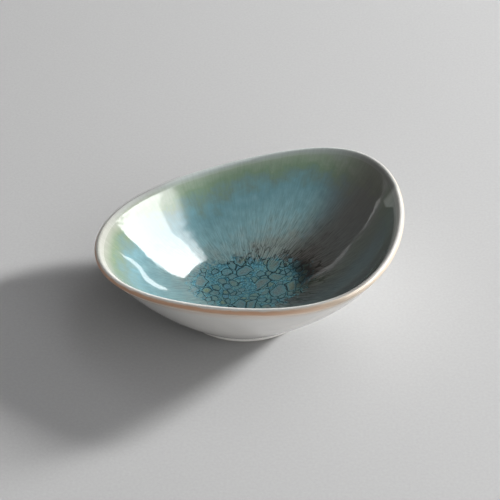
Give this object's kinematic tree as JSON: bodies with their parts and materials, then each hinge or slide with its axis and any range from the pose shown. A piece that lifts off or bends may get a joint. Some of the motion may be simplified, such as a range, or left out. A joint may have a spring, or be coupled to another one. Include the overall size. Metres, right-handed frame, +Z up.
{
  "type": "dip bowl",
  "caption": "Egg-shaped porcelain dip bowl with a tilted, rounded lip and a low foot ring, reactive glaze inside, white glaze outside and an iron band round the lip.",
  "frame": {"origin": "on the table, under the middle of the bowl's length and width", "axes": "+X along the bowl's length, from the low narrow end to the high blunt end, and +Z up out of the well"},
  "size_m": [0.125, 0.1084, 0.0474],
  "materials": {
    "fired_porcelain": "matte",
    "white_glaze": "gloss",
    "iron_glaze": "satin",
    "reactive_glaze": "gloss",
    "crystal_glaze": "gloss"
  },
  "bodies": {
    "root": {"clay_body": "fired_porcelain", "outer_glaze": "white_glaze", "rim_band": "iron_glaze", "inner_glaze": "reactive_glaze", "crystal_pool": "crystal_glaze", "base_glaze": "white_glaze"}
  },
  "joints": []
}
